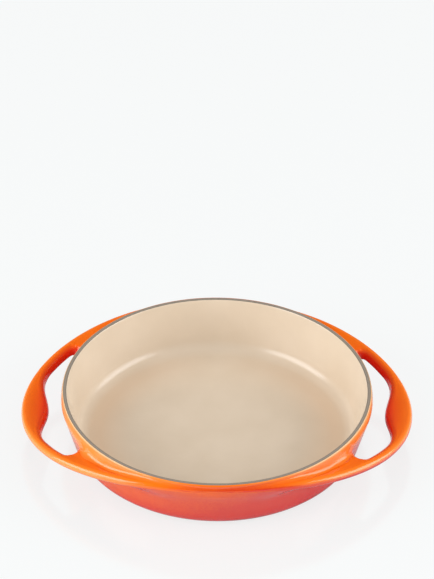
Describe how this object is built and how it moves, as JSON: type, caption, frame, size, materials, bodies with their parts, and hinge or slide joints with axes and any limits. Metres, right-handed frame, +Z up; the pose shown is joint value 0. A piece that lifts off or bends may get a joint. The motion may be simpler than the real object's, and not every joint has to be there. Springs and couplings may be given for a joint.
{
  "type": "tarte tatin dish",
  "caption": "Round shallow baking dish in enamelled cast iron, with a leaning wall, a flat matt rim and a drooping flange that widens into a loop handle at each side.",
  "frame": {"origin": "centre of the base, on the surface that the dish stands on", "axes": "+X runs along the line of the handles, +Y across it, +Z up"},
  "size_m": [0.326, 0.2604, 0.0505],
  "materials": {
    "enamelled_iron": "glossy enamel, orange to red outside and cream inside, with a matt grey ring on the rim"
  },
  "bodies": {
    "root": {"dish": "enamelled_iron"}
  },
  "joints": []
}
